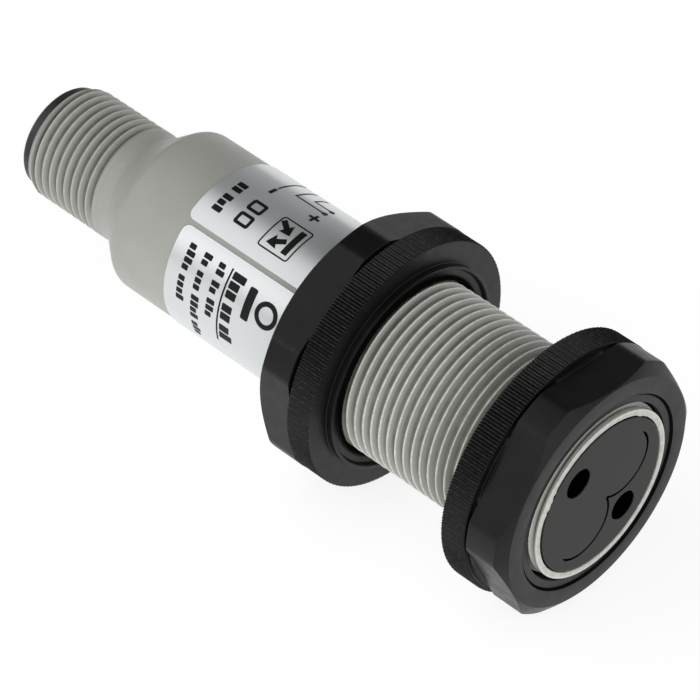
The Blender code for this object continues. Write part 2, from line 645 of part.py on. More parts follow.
def nut_mesh():
    """A nut along X whose hexagon faces +X, with the origin half way through it."""
    half = NUT_THICKNESS / 2
    border = half - NUT_HEX_HEIGHT
    collar = NUT_COLLAR_RADIUS
    face_radius, face_depth = NUT_FACE_RECESS
    ring_radius, ring_depth = NUT_RING_RECESS
    collar_face = NUT_RING_HEIGHT - half
    cone = math.tan(NUT_CONE)
    bm = bmesh.new()
    rings = []
    for angle, hexagon in nut_columns():
        section = [
            (half, NUT_FACE_RADIUS),
            (half - (hexagon - NUT_FACE_RADIUS) * cone, hexagon),
            (border, hexagon),
            (border - CLEARANCE, collar),
            (collar_face, collar),
            (collar_face, NUT_RING_RADIUS),
            (-half, NUT_RING_RADIUS),
            (-half, ring_radius),
            (ring_depth - half, ring_radius - NUT_RECESS_SLOPE),
            (ring_depth - half, NUT_BORE_RADIUS),
            (half - face_depth, NUT_BORE_RADIUS),
            (half - face_depth, face_radius - NUT_RECESS_SLOPE),
            (half, face_radius),
        ]
        rings.append([bm.verts.new((x, r * math.cos(angle), r * math.sin(angle))) for x, r in section])
    for index, ring in enumerate(rings):
        beyond = rings[(index + 1) % len(rings)]
        for corner in range(len(ring)):
            following = (corner + 1) % len(ring)
            bm.faces.new((ring[corner], beyond[corner], beyond[following], ring[following]))
    return mesh_from(bm, "nut", NUT_SHARP_ANGLE)


def build_nuts():
    """Both nuts share a mesh. Their hexagons face away from each other and their collars clamp the panel."""
    shared = nut_mesh()
    shared.materials.append(material("nut_plastic", (0.012, 0.012, 0.013), 0.45))
    front = add_object("front_nut", shared, None)
    front.location.x = -(FRONT_NUT_DEPTH + NUT_THICKNESS / 2)
    front.rotation_euler = (FRONT_NUT_ROLL, 0.0, 0.0)
    rear = add_object("rear_nut", shared, None)
    rear.location.x = -(REAR_NUT_DEPTH - NUT_THICKNESS / 2)
    rear.rotation_euler = (REAR_NUT_ROLL, 0.0, math.pi)


def build():
    clear_scene()
    frame = add_object("sensor_frame", None, None)
    frame.rotation_euler = (ROLL_ANGLE, 0.0, 0.0)
    build_housing(frame)
    build_disc(frame)
    build_seal(frame)
    build_holder(frame)
    build_device("emitter_led", 1, frame, (0.25, 0.2, 0.4))
    build_device("receiver_diode", -1, frame, (0.03, 0.02, 0.03))
    build_board(frame)
    build_components(frame)
    build_insert(frame)
    build_contacts(frame)
    build_wires(frame)
    build_resin(frame)
    build_label(frame)
    build_nuts()


build()
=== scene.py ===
"""Looks of a cylindrical photoelectric sensor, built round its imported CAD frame.

The frame's origin is the centre of the sensing face. +X points out of that face and +Z is up, so a point at
depth d behind the face lies at x = -d. Angles are counted about +X, from +Y towards +Z.
"""

import json
import math
import random
from collections import namedtuple

import bmesh
import bpy
from mathutils import Matrix, Vector, noise


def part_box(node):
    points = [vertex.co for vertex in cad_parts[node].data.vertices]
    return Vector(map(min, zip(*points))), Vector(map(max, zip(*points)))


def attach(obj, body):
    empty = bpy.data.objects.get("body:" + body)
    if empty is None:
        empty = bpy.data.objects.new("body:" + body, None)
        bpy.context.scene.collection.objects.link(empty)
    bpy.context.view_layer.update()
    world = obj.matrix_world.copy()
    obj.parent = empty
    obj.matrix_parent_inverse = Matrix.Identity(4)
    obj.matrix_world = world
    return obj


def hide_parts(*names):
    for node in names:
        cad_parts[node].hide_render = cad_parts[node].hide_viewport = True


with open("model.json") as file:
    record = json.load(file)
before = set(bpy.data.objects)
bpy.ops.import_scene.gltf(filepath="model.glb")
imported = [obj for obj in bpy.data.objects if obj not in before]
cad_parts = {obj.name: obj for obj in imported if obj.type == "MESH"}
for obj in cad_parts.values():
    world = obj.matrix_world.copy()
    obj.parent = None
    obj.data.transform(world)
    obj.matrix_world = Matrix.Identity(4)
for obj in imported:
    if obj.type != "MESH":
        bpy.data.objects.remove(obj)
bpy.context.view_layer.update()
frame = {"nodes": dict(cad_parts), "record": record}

MM = 0.001
ROLL = math.radians(130.2)          # direction from the receiver's hole to the emitter's
SMOOTH_ANGLE = math.radians(40)     # edges sharper than this stay crisp


def depths(node):
    """Depths behind the sensing face at which a CAD node starts and ends."""
    low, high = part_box(node)
    return -high.x, -low.x


def outer_radius(node):
    """Radius of a CAD node that is centred on the barrel's axis."""
    low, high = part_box(node)
    return max(high.y, high.z, -low.y, -low.z)


# Barrel
BARREL_COLUMNS = 180
BARREL_SEAM = math.radians(210)     # where both threads start and end
BARREL_CREST = outer_radius("barrel_housing")
PITCH = 1.0 * MM
PITCH_ROWS = 14
THREAD_DEPTH = 0.56 * MM
CREST_SHARE = 0.06                  # of the pitch, from the middle of a crest to where its flank starts
FLANK_SHARE = 0.40                  # and to where the flank meets the root
RUN_IN = 0.12                       # of a turn, over which a thread rises from its land
THREAD_FIRST = 0.15 * MM            # depth at which the helix starts
THREAD_TURNS = 27
SEAT_RADIUS = 8.05 * MM
SEAT_FLOOR = 3.0 * MM               # depth of the step that the disc's seal rests on
FRONT_FILLET = 0.09 * MM
FRONT_REACH = 0.2 * MM              # depth of the front edge's last ring in the seat
LAND_RADIUS = 8.69 * MM
BODY_RADIUS = 8.55 * MM
FRONT_HIGHLIGHT = 0.5                    # how far the front ring is painted paler, as a painted highlight
BURRS = ((150, 11, 0.3 * MM), (51, 6, 0.15 * MM))   # middle and reach in degrees, and height, of flashes
THREAD_END = 29.3 * MM
SHOULDER_CORNER = 53.86 * MM        # where the lines of the smooth length and of the cone meet
SHOULDER_CONE = math.radians(38)
NECK_RADIUS = 5.85 * MM
NECK_END_RADIUS = 5.95 * MM
PLUG_CREST = 5.95 * MM
PLUG_THREAD_START = 58.9 * MM       # end of the neck
PLUG_THREAD_FIRST = 59.56 * MM      # depth at which the plug's helix starts
PLUG_THREAD_TURNS = 8
# Strength of the painted highlight on the plug thread's crests, weaker than on the main thread.
PLUG_HIGHLIGHT = 0.35
SLEEVE_END = depths("barrel_housing")[1]
SLEEVE_END_RADIUS = 5.6 * MM
SLEEVE_CHAMFER = 0.6 * MM           # length of the lead-in at the sleeve's end
SLEEVE_LIP = 0.1 * MM               # length of the plain end behind the lead-in
SLEEVE_BORE = 4.95 * MM
THROAT = (51.0 * MM, 54.4 * MM)     # depths between which the bore narrows to the sleeve's
BORE_RADIUS = 7.3 * MM

# Nuts
TEETH = 126
FINE_PER_TOOTH = 8
FINE_PER_COARSE = 4
TOOTH_SHAPE = (0.0, 0.75, 1.0, 0.55, 0.1, 0.55, 0.85, 0.4)   # heights over a tooth with a grooved crest
HALF_FLATS = 11.98 * MM
CORNER_RADIUS = outer_radius("front_nut")
CORNER_SOFTNESS = 0.08 * MM
FACE_RADIUS = 11.85 * MM
NUT_CONE = math.radians(35)
GROOVE = (4.05 * MM, 4.38 * MM)     # heights over the hexagon's face, between the hexagon and the knurl
GROOVE_RADIUS = 12.4 * MM
COLLAR_RADIUS = 12.95 * MM
TOOTH_DEPTH = 0.18 * MM
TOOTH_ROOT = COLLAR_RADIUS - TOOTH_DEPTH
TOOTH_GLINT = 2.6                    # rise of the edge attribute from a tooth's root, painted as shade, to its crest, painted paler as a glint
RING_HEIGHT = 0.7 * MM              # of the raised ring over the collar's face
RING_RADIUS = 10.6 * MM
FACE_RECESS = (10.13 * MM, 0.22 * MM)   # radius and depth of the counterbore in the hexagon's face
RING_RECESS = (10.3 * MM, 0.45 * MM)    # and of that in the raised ring
RECESS_SLOPE = 0.2 * MM             # by which a counterbore narrows towards its floor
RING_WEAR = 0.1                     # how far the raised ring's edges are rubbed
BORE_LIP = 0.1 * MM                 # depth under the raised ring at which the lip round the bore ends
BORE_START = FACE_RECESS[1] + 0.15 * MM     # height at which the nut's inner thread starts
NUT_BORE = 9.12 * MM
NUT_THREAD_DEPTH = 0.32 * MM
SHADED = -0.5                       # edge value of gaps and recesses: painted shade, dull and dark with no clear reflection


def rounded(corners, closed=False, steps=4):
    """(depth, radius, fillet) corners -> (depth, radius, edge) points. Edge is 1 within a fillet's arc."""
    points = []
    for index, (depth, radius, fillet) in enumerate(corners):
        at_end = not closed and index in (0, len(corners) - 1)
        if at_end or not fillet:
            points.append((depth, radius, 0.0))
            continue
        here = Vector((depth, radius))
        before = (Vector(corners[index - 1][:2]) - here).normalized()
        after = (Vector(corners[(index + 1) % len(corners)][:2]) - here).normalized()
        half = before.angle(after) / 2
        reach = fillet / math.tan(half)
        centre = here + (before + after).normalized() * fillet / math.sin(half)
        first = here + before * reach - centre
        last = here + after * reach - centre
        start = math.atan2(first.y, first.x)
        turn = math.remainder(math.atan2(last.y, last.x) - start, 2 * math.pi)
        for step in range(steps + 1):
            angle = start + turn * step / steps
            edge = 1.0 if 0 < step < steps else 0.0
            points.append((centre.x + fillet * math.cos(angle), centre.y + fillet * math.sin(angle), edge))
    return points


# A thread's first depth, crest radius and whole turns, the radii of the plain lands before and after it,
# the length of land before its first turn, the strength of the painted highlight on its crests, and its
# greatest radius as a function of depth.
Thread = namedtuple("Thread", "first crest turns start_land end_land shelf wear limit")


class Skin:
    """Rings of vertices round the X axis, bridged with quads. Columns run against a right-hand turn."""

    def __init__(self, columns, seam=0.0):
        self.bm = bmesh.new()
        self.edge = self.bm.verts.layers.float.new("edge")
        self.columns = columns
        self.seam = seam

    def angle(self, column):
        return self.seam - 2 * math.pi * column / self.columns

    def vertex(self, depth, radius, angle, edge=0.0):
        made = self.bm.verts.new((-depth, radius * math.cos(angle), radius * math.sin(angle)))
        made[self.edge] = edge
        return made

    def ring(self, depth, radius, edge=0.0):
        return [self.vertex(depth, radius, self.angle(column), edge) for column in range(self.columns)]

    def bridge(self, first, second):
        """Joins two rings, of which one may hold a whole multiple of the other's vertices."""
        if len(first) > len(second):
            first, second = second, first
        share = len(second) // len(first)
        for column in range(len(first)):
            beyond = (column + 1) % len(first)
            far = [second[(column * share + step) % len(second)] for step in range(share + 1)]
            self.bm.faces.new([first[column], first[beyond]] + far[::-1])

    def run(self, points, start=None):
        """Bridges rings along (depth, radius, edge) points, from a ring that may already be there."""
        rings = [start] if start else []
        for depth, radius, edge in points:
            rings.append(self.ring(depth, radius, edge))
            if len(rings) > 1:
                self.bridge(rings[-2], rings[-1])
        return rings[0], rings[-1]

    def cap(self, ring):
        self.bm.faces.new(ring)

    def thread(self, start, thread, end_depth):
        """Grows a helical thread from ring start to a new ring at end_depth."""
        grid = [self.thread_column(thread, column) for column in range(self.columns)]
        end = self.ring(end_depth, min(thread.end_land, thread.limit(end_depth)))
        self.close_thread(start, end, grid, thread)
        return end

    def thread_column(self, thread, column):
        """One column of a thread, from a root to a root, with a vertex of plain land before and after."""
        turn = column / self.columns
        rows = thread.turns * PITCH_ROWS + (PITCH_ROWS if column == 0 else 0)
        made = []
        for row in range(rows + 1):
            depth = thread.first + PITCH * (row / PITCH_ROWS + turn)
            fade = thread_fade(thread, row, turn)
            land = thread.start_land if row < PITCH_ROWS else thread.end_land
            height = thread_height(row / PITCH_ROWS)
            full = thread.crest - (1 - height) * THREAD_DEPTH
            radius = min(land + (full - land) * fade, thread.limit(depth))
            # Crests get an edge value, which housing_look paints paler: a painted highlight.
            edge = thread.wear * max(0.0, 4 * height - 3)
            made.append(self.vertex(depth, radius, self.angle(column), edge))
        before = thread.first + PITCH * turn - thread.shelf
        after = thread.first + PITCH * (rows / PITCH_ROWS + turn) + PITCH / PITCH_ROWS
        head = self.vertex(before, thread.start_land, self.angle(column))
        tail = self.vertex(after, min(thread.end_land, thread.limit(after)), self.angle(column))
        return [head] + made + [tail]

    def close_thread(self, start, end, grid, thread):
        """Faces of the thread's grid, and the stepped strips that join it to plain rings."""
        rows = thread.turns * PITCH_ROWS + 1
        last = self.columns - 1
        new = self.bm.faces.new
        for column in range(self.columns):
            beyond = grid[(column + 1) % self.columns]
            here = grid[column]
            shift = PITCH_ROWS if column == last else 0
            for row in range(1, rows):
                new((here[row], beyond[row + shift], beyond[row + shift + 1], here[row + 1]))
        for column in range(last):
            here, beyond = grid[column], grid[column + 1]
            new((here[0], beyond[0], beyond[1], here[1]))
            new((start[column], start[column + 1], beyond[0], here[0]))
        new([start[last], start[0]] + grid[0][:PITCH_ROWS + 2] + [grid[last][1], grid[last][0]])
        for column in range(1, self.columns):
            here, beyond = grid[column], grid[(column + 1) % self.columns]
            new((here[-2], beyond[-2], beyond[-1], here[-1]))
            new((here[-1], beyond[-1], end[(column + 1) % self.columns], end[column]))
        new([grid[1][-2], grid[1][-1], end[1], end[0]] + grid[0][rows:][::-1])


def thread_height(turn):
    """Height of a thread's section, from 0 at its root to 1 at its crest, which is half a turn further."""
    from_crest = abs(turn % 1.0 - 0.5)
    flank = (FLANK_SHARE - from_crest) / (FLANK_SHARE - CREST_SHARE)
    return min(1.0, max(0.0, flank))


def thread_fade(thread, row, turn):
    """How far a thread has risen from its land: 0 at both ends of the helix and 1 between."""
    if row < PITCH_ROWS:
        return min(1.0, turn / RUN_IN)
    if row > thread.turns * PITCH_ROWS:
        return 0.0
    if row > (thread.turns - 1) * PITCH_ROWS:
        return min(1.0, (1 - turn) / RUN_IN)
    return 1.0


def finish_mesh(bm, name, sharp=SMOOTH_ANGLE):
    """A mesh with outward faces that is smooth over its round stretches."""
    bmesh.ops.recalc_face_normals(bm, faces=bm.faces)
    mesh = bpy.data.meshes.new(name)
    bm.to_mesh(mesh)
    bm.free()
    mesh.shade_smooth()
    mesh.set_sharp_from_angle(angle=sharp)
    return mesh


def add_piece(name, mesh, look, body="sensor", stands_for=()):
    """Shows a finished piece that rides on a CAD body and may stand for CAD nodes."""
    made = bpy.data.objects.new(name, mesh)
    bpy.context.scene.collection.objects.link(made)
    mesh.materials.clear()
    mesh.materials.append(look)
    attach(made, body)
    if stands_for:
        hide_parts(*stands_for)
    return made


def keep_flats_flat(piece):
    """Weights normals by area, so that fillets don't pull on the shading of the faces between them."""
    weighted = piece.modifiers.new("weighted", "WEIGHTED_NORMAL")
    weighted.keep_sharp = True


def barrel_mesh():
    """Seat for the disc, M18 thread, smooth length, shoulder, neck and M12 sleeve, as one moulding."""
    skin = Skin(BARREL_COLUMNS, seam=BARREL_SEAM)
    front = rounded([
        (FRONT_REACH, SEAT_RADIUS, 0),
        (0.0, SEAT_RADIUS, FRONT_FILLET),
        (0.0, LAND_RADIUS, FRONT_FILLET),
        (FRONT_REACH / 2, LAND_RADIUS, 0),
    ])
    # The front ring gets an edge value, which housing_look paints paler: a painted highlight.
    inner, land = skin.run([(depth, radius, FRONT_HIGHLIGHT) for depth, radius, edge in front])
    add_burrs(skin.bm)
    main = Thread(first=THREAD_FIRST, crest=BARREL_CREST, turns=THREAD_TURNS, start_land=LAND_RADIUS,
                  end_land=BODY_RADIUS, shelf=0.05 * MM, wear=1.0, limit=lambda depth: BARREL_CREST)
    body = skin.thread(land, main, THREAD_END)
    cone_length = (BODY_RADIUS - NECK_RADIUS) / math.tan(SHOULDER_CONE)
    neck_corner = SHOULDER_CORNER + cone_length
    shoulder = rounded([
        (THREAD_END, BODY_RADIUS, 0),
        (SHOULDER_CORNER, BODY_RADIUS, 1.2 * MM),
        (neck_corner, NECK_RADIUS, 1.8 * MM),
        (PLUG_THREAD_START - 0.3 * MM, NECK_RADIUS, 0.5 * MM),
        (PLUG_THREAD_START, NECK_END_RADIUS, 0),
    ], steps=8)
    neck = skin.run([(depth, radius, 0.0) for depth, radius, edge in shoulder[1:]], body)[1]
    plug = Thread(first=PLUG_THREAD_FIRST, crest=PLUG_CREST, turns=PLUG_THREAD_TURNS,
                  start_land=NECK_END_RADIUS, end_land=PLUG_CREST, shelf=0.4 * MM, wear=PLUG_HIGHLIGHT,
                  limit=sleeve_limit)
    sleeve = skin.thread(neck, plug, SLEEVE_END - SLEEVE_LIP)
    inside = rounded([
        (SLEEVE_END - SLEEVE_LIP, SLEEVE_END_RADIUS, 0),
        (SLEEVE_END, SLEEVE_END_RADIUS - 0.06 * MM, 0.05 * MM),
        (SLEEVE_END, SLEEVE_BORE, 0.05 * MM),
        (THROAT[1], SLEEVE_BORE, 0),
        (THROAT[0], BORE_RADIUS, 0),
        (SEAT_FLOOR, BORE_RADIUS, 0),
        (SEAT_FLOOR, SEAT_RADIUS, 0),
        (FRONT_REACH, SEAT_RADIUS, 0),
    ])
    back = skin.run(inside[1:-1], sleeve)[1]
    skin.bridge(back, inner)
    return finish_mesh(skin.bm, "barrel_shell", math.radians(60))


def add_burrs(bm):
    """Pulls ragged flashes of moulding out of the seat's edge, over short arcs."""
    for vertex in bm.verts:
        angle = math.degrees(math.atan2(vertex.co.z, vertex.co.y))
        radius = math.hypot(vertex.co.y, vertex.co.z)
        for middle, reach, height in BURRS:
            share = 1 - abs(angle - middle) / reach
            if share > 0 and radius < SEAT_RADIUS + 0.12 * MM and -vertex.co.x < 0.15 * MM:
                ragged = 0.55 + 1.6 * noise.noise(Vector((angle * 0.9, radius / MM, 0.0)))
                pull = height * max(0.0, ragged) * math.sqrt(share) / radius
                vertex.co.y -= vertex.co.y * pull
                vertex.co.z -= vertex.co.z * pull


def sleeve_limit(depth):
    """Radius that the lead-in chamfer at the sleeve's end leaves at a depth."""
    chamfer = max(0.0, depth - SLEEVE_END + SLEEVE_CHAMFER) / SLEEVE_CHAMFER
    return PLUG_CREST - (PLUG_CREST - SLEEVE_END_RADIUS) * chamfer


def hexagon_radius(angle):
    """Radius of the hexagon with turned corners, and how close the angle is to an edge of it."""
    offset = math.remainder(angle, math.pi / 3)
    flat = HALF_FLATS / math.cos(offset)
    apart = max(0.0, 1 - abs(flat - CORNER_RADIUS) / CORNER_SOFTNESS)
    return min(flat, CORNER_RADIUS) - apart * apart * CORNER_SOFTNESS / 4, apart


def bore_radius(depth, angle, run_in):
    """Radius of a nut's inner thread, whose crests run clear of the barrel's."""
    root = 1 - thread_height(depth / PITCH + angle / (2 * math.pi))
    return NUT_BORE + NUT_THREAD_DEPTH * root * run_in


def hexagon_section(offset):
    """Points of the nut from its bore to the groove behind its hexagon, offset from a flat's middle."""
    radius, corner = hexagon_radius(offset)
    rim, floor = FACE_RECESS
    wall_foot = rim - RECESS_SLOPE - 0.1 * MM
    points = rounded([
        (BORE_START, NUT_BORE, 0),
        (floor, NUT_BORE + 0.05 * MM, 0.04 * MM),
        (floor, wall_foot, 0),
        (floor, rim - RECESS_SLOPE, 0.06 * MM),
        (0.0, rim, 0.05 * MM),
        (0.0, FACE_RADIUS, 0.06 * MM),
        ((radius - FACE_RADIUS) * math.tan(NUT_CONE), radius, 0.06 * MM),
        (GROOVE[0], radius, 0.05 * MM),
        (GROOVE[0] + 0.04 * MM, GROOVE_RADIUS, 0),
        (GROOVE[1], GROOVE_RADIUS, 0),
    ], steps=3)
    section = []
    for height, reach, edge in points:
        # Painted shade on the counterbore's wall; the hexagon's corners are rubbed.
        if height > 0.0 and wall_foot < reach < rim:
            edge = SHADED
        elif reach > HALF_FLATS:
            edge = max(edge, corner)
        section.append((height, reach, edge))
    return section


def collar_section(top):
    """Points of the nut from the collar's face over the raised ring, at height top, to the bore's lip."""
    rim, floor = RING_RECESS
    lip_foot = NUT_BORE + 0.25 * MM
    points = rounded([
        (top - RING_HEIGHT, TOOTH_ROOT - 0.05 * MM, 0),
        (top - RING_HEIGHT, RING_RADIUS, 0.08 * MM),
        (top, RING_RADIUS, 0.06 * MM),
        (top, rim, 0.05 * MM),
        (top - floor, rim - RECESS_SLOPE, 0.06 * MM),
        (top - floor, lip_foot, 0),
        (top - BORE_LIP, NUT_BORE + 0.16 * MM, 0),
        (top - BORE_LIP, NUT_BORE, 0),
    ])
    # Painted shade on the lip round the bore, fading across the counterbore's floor; the raised ring's
    # fillets are rubbed a little.
    return [(height, radius, edge * RING_WEAR if radius > lip_foot + 0.05 * MM else SHADED)
            for height, radius, edge in points]


def knurl_section(top):
    """Heights along the knurl, and how far its teeth have risen there."""
    start, end = GROOVE[1], top - RING_HEIGHT
    return [(start, 0.0), (start + 0.04 * MM, 0.85), (start + 0.1 * MM, 1.0),
            (end - 0.08 * MM, 1.0), (end - 0.02 * MM, 0.9), (end, 0.75)]


def knurl_ring(skin, depth, rise):
    """A fine ring over teeth that stand up by a rise from 0 to 1."""
    made = []
    for column in range(TEETH * FINE_PER_TOOTH):
        tooth = TOOTH_SHAPE[column % FINE_PER_TOOTH] * rise
        radius = TOOTH_ROOT + TOOTH_DEPTH * tooth
        angle = skin.angle(column / FINE_PER_COARSE)
        # The roots are painted shade and the crests are painted paler, as glints.
        made.append(skin.vertex(depth, radius, angle, SHADED + TOOTH_GLINT * tooth))
    return made


def bore_rings(skin, face, towards, bore_end):
    """Rings of a nut's inner thread, from the height where its bore ends back to where it starts."""
    steps = round((bore_end - BORE_START) / (PITCH / 10))
    rings = []
    for step in range(1, steps):
        height = bore_end + (BORE_START - bore_end) * step / steps
        depth = face + towards * height
        run_in = min(1.0, min(step, steps - step) / 4)
        angles = [skin.angle(column) for column in range(skin.columns)]
        rings.append([skin.vertex(depth, bore_radius(depth, angle, run_in), angle) for angle in angles])
    return rings


def nut_mesh(name, node, roll, towards):
    """A nut whose hexagon's face is at the CAD node's front if towards is 1, or at its rear if it is -1."""
    start, end = depths(node)
    face = start if towards > 0 else end
    top = end - start
    skin = Skin(TEETH * FINE_PER_TOOTH // FINE_PER_COARSE)
    columns = []
    for column in range(skin.columns):
        angle = skin.angle(column)
        section = hexagon_section(angle - roll)
        columns.append([skin.vertex(face + towards * height, radius, angle, edge)
                        for height, radius, edge in section])
    rings = [list(ring) for ring in zip(*columns)]
    rings += [knurl_ring(skin, face + towards * height, rise) for height, rise in knurl_section(top)]
    collar = collar_section(top)
    rings += [skin.ring(face + towards * height, radius, edge) for height, radius, edge in collar]
    rings += bore_rings(skin, face, towards, collar[-1][0])
    for first, second in zip(rings, rings[1:] + rings[:1]):
        skin.bridge(first, second)
    return finish_mesh(skin.bm, name, math.radians(50))


class Look:
    """A Principled material, and short calls for the nodes that feed it."""

    def __init__(self, name, colour, roughness, metallic=0.0):
        self.material = bpy.data.materials.new(name)
        self.material.use_nodes = True
        self.nodes = self.material.node_tree.nodes
        self.links = self.material.node_tree.links
        self.shader = self.nodes["Principled BSDF"]
        self.place = self.nodes.new("ShaderNodeTexCoord").outputs["Object"]
        self.paint(colour)
        self.polish(roughness)
        self.shader.inputs["Metallic"].default_value = metallic

    def feed(self, socket, value):
        """Links a node's output to a socket, or sets the socket to a plain value."""
        if isinstance(value, bpy.types.NodeSocket):
            self.links.new(value, socket)
        elif isinstance(value, tuple) and len(value) == 3 and socket.type == "RGBA":
            socket.default_value = (*value, 1.0)
        else:
            socket.default_value = value

    def noise(self, size, detail=3.0, stretch=(1.0, 1.0, 1.0)):
        """Noise from 0 to 1 whose features measure about size, in metres."""
        mapping = self.nodes.new("ShaderNodeMapping")
        mapping.inputs["Scale"].default_value = tuple(1 / (size * share) for share in stretch)
        self.links.new(self.place, mapping.inputs["Vector"])
        node = self.nodes.new("ShaderNodeTexNoise")
        node.inputs["Scale"].default_value = 1.0
        node.inputs["Detail"].default_value = detail
        self.links.new(mapping.outputs["Vector"], node.inputs["Vector"])
        return node.outputs[0]

    def cells(self, size):
        """Distance from the nearest of scattered points, in units of size."""
        node = self.nodes.new("ShaderNodeTexVoronoi")
        node.inputs["Scale"].default_value = 1 / size
        self.links.new(self.place, node.inputs["Vector"])
        return node.outputs["Distance"]

    def maths(self, operation, first, second=0.0):
        node = self.nodes.new("ShaderNodeMath")
        node.operation = operation
        self.feed(node.inputs[0], first)
        self.feed(node.inputs[1], second)
        return node.outputs[0]

    def spread(self, value, low, high, out_low=0.0, out_high=1.0):
        """Maps value from low..high to out_low..out_high, smoothly and without overshoot."""
        node = self.nodes.new("ShaderNodeMapRange")
        node.interpolation_type = "SMOOTHSTEP"
        limits = {"From Min": low, "From Max": high, "To Min": out_low, "To Max": out_high}
        for name, number in limits.items():
            node.inputs[name].default_value = number
        self.links.new(value, node.inputs["Value"])
        return node.outputs["Result"]

    def mix(self, share, first, second):
        """A colour between two, each a colour or a node's output."""
        node = self.nodes.new("ShaderNodeMix")
        node.data_type = "RGBA"
        self.feed(node.inputs[0], share)
        self.feed(node.inputs[6], first)
        self.feed(node.inputs[7], second)
        return node.outputs[2]

    def attribute(self, name):
        node = self.nodes.new("ShaderNodeAttribute")
        node.attribute_name = name
        return node.outputs["Fac"]

    def coordinate(self, axis):
        split = self.nodes.new("ShaderNodeSeparateXYZ")
        self.links.new(self.place, split.inputs[0])
        return split.outputs[axis]

    def axis_distance(self):
        """Distance from the barrel's axis, in metres."""
        y, z = self.coordinate("Y"), self.coordinate("Z")
        squared = self.maths("ADD", self.maths("MULTIPLY", y, y), self.maths("MULTIPLY", z, z))
        return self.maths("SQRT", squared)

    def depth(self):
        """Depth behind the sensing face, in metres."""
        return self.maths("MULTIPLY", self.coordinate("X"), -1.0)

    def paint(self, colour):
        self.feed(self.shader.inputs["Base Color"], colour)

    def polish(self, roughness):
        self.feed(self.shader.inputs["Roughness"], roughness)

    def shine(self, level):
        """Strength of the clear reflection, where 0.5 is that of common plastic."""
        self.feed(self.shader.inputs["Specular IOR Level"], level)

    def bump(self, height, distance):
        """Raises the surface by up to distance where height is 1, on top of any earlier bump."""
        node = self.nodes.new("ShaderNodeBump")
        node.inputs["Distance"].default_value = distance
        self.feed(node.inputs["Height"], height)
        normal = self.shader.inputs["Normal"]
        if normal.is_linked:
            self.links.new(normal.links[0].from_socket, node.inputs["Normal"])
        self.links.new(node.outputs["Normal"], normal)


def housing_look():
    """Light grey moulded plastic: fine grain, faint mottling and dark specks, with painted shade in the
    roots of the threads and over the plug's end, and painted highlights on the front ring and the threads'
    crests.
    """
    look = Look("housing_grey", (0.42, 0.428, 0.392), 0.45)
    mottle = look.spread(look.noise(5 * MM, 3.0), 0.3, 0.7)
    base = look.mix(mottle, (0.408, 0.416, 0.378), (0.432, 0.440, 0.405))
    radius = look.axis_distance()
    root = look.spread(radius, BARREL_CREST - THREAD_DEPTH, BARREL_CREST - 0.45 * THREAD_DEPTH, 1.0, 0.0)
    threaded = look.maths("LESS_THAN", look.depth(), THREAD_END)
    plug_root = look.spread(radius, PLUG_CREST - THREAD_DEPTH, PLUG_CREST - 0.45 * THREAD_DEPTH, 1.0, 0.0)
    plugged = look.maths("GREATER_THAN", look.depth(), PLUG_THREAD_START + 0.3 * MM)
    main_roots = look.maths("MULTIPLY", root, threaded)
    roots = look.maths("ADD", main_roots, look.maths("MULTIPLY", plug_root, plugged))
    # Painted shade: the roots of both threads are painted darker, in uneven patches.
    root_shade = look.maths("MULTIPLY", roots, look.spread(look.noise(1.2 * MM, 4.0), 0.3, 0.7, 0.55, 0.85))
    shade_tint = (0.17, 0.17, 0.145)
    # Painted shade over the plug's end, beyond the neck: a little darker all over.
    base = look.mix(look.maths("MULTIPLY", plugged, 0.14), base, shade_tint)
    base = look.mix(root_shade, base, shade_tint)
    specks = look.spread(look.cells(4.5 * MM), 0.015, 0.03, 0.5, 0.0)
    base = look.mix(specks, base, (0.15, 0.14, 0.12))
    # Painted highlight: where the edge value is high, as on the front ring and the threads' crests, the grey
    # is painted nearly white, in patches.
    breakup = look.spread(look.noise(0.5 * MM), 0.3, 0.7, 0.5, 0.9)
    paled_edges = look.maths("MULTIPLY", look.attribute("edge"), breakup)
    look.paint(look.mix(paled_edges, base, (0.9, 0.9, 0.84)))
    look.polish(look.spread(look.noise(1.2 * MM, 4.0), 0.3, 0.7, 0.40, 0.5))
    look.bump(look.noise(0.09 * MM, 2.0), 0.004 * MM)
    return look.material


def nut_look():
    """Black nylon: satin, very slightly mottled by flow in the mould, scuffed grey along its edges, with
    painted glints along the knurl's crests, and painted shade in its gaps and recesses and on the bore's
    lip.
    """
    look = Look("nut_black", (0.0045, 0.0045, 0.0045), 0.36)
    mottle = look.spread(look.noise(2.5 * MM, 3.0), 0.3, 0.7)
    base = look.mix(mottle, (0.0038, 0.0039, 0.0038), (0.0055, 0.0056, 0.0055))
    # The hexagon's corners and fillets are rubbed grey; on the knurl's crests the same paler paint is a
    # painted glint.
    breakup = look.spread(look.noise(0.35 * MM, 4.0), 0.45, 0.7, 0.1, 0.5)
    edge = look.maths("MAXIMUM", look.attribute("edge"), 0.0)
    paled_edges = look.maths("MULTIPLY", edge, breakup)
    look.paint(look.mix(paled_edges, base, (0.035, 0.036, 0.037)))
    # Painted shade: where the edge value falls to SHADED, in gaps, recesses and on the bore's lip, the clear
    # reflection is taken away.
    look.shine(look.spread(look.attribute("edge"), SHADED, 0.4 * SHADED, 0.0, 0.22))
    look.polish(look.spread(look.noise(1.4 * MM, 4.0), 0.3, 0.7, 0.33, 0.41))
    look.bump(look.noise(0.1 * MM, 2.0), 0.003 * MM)
    return look.material


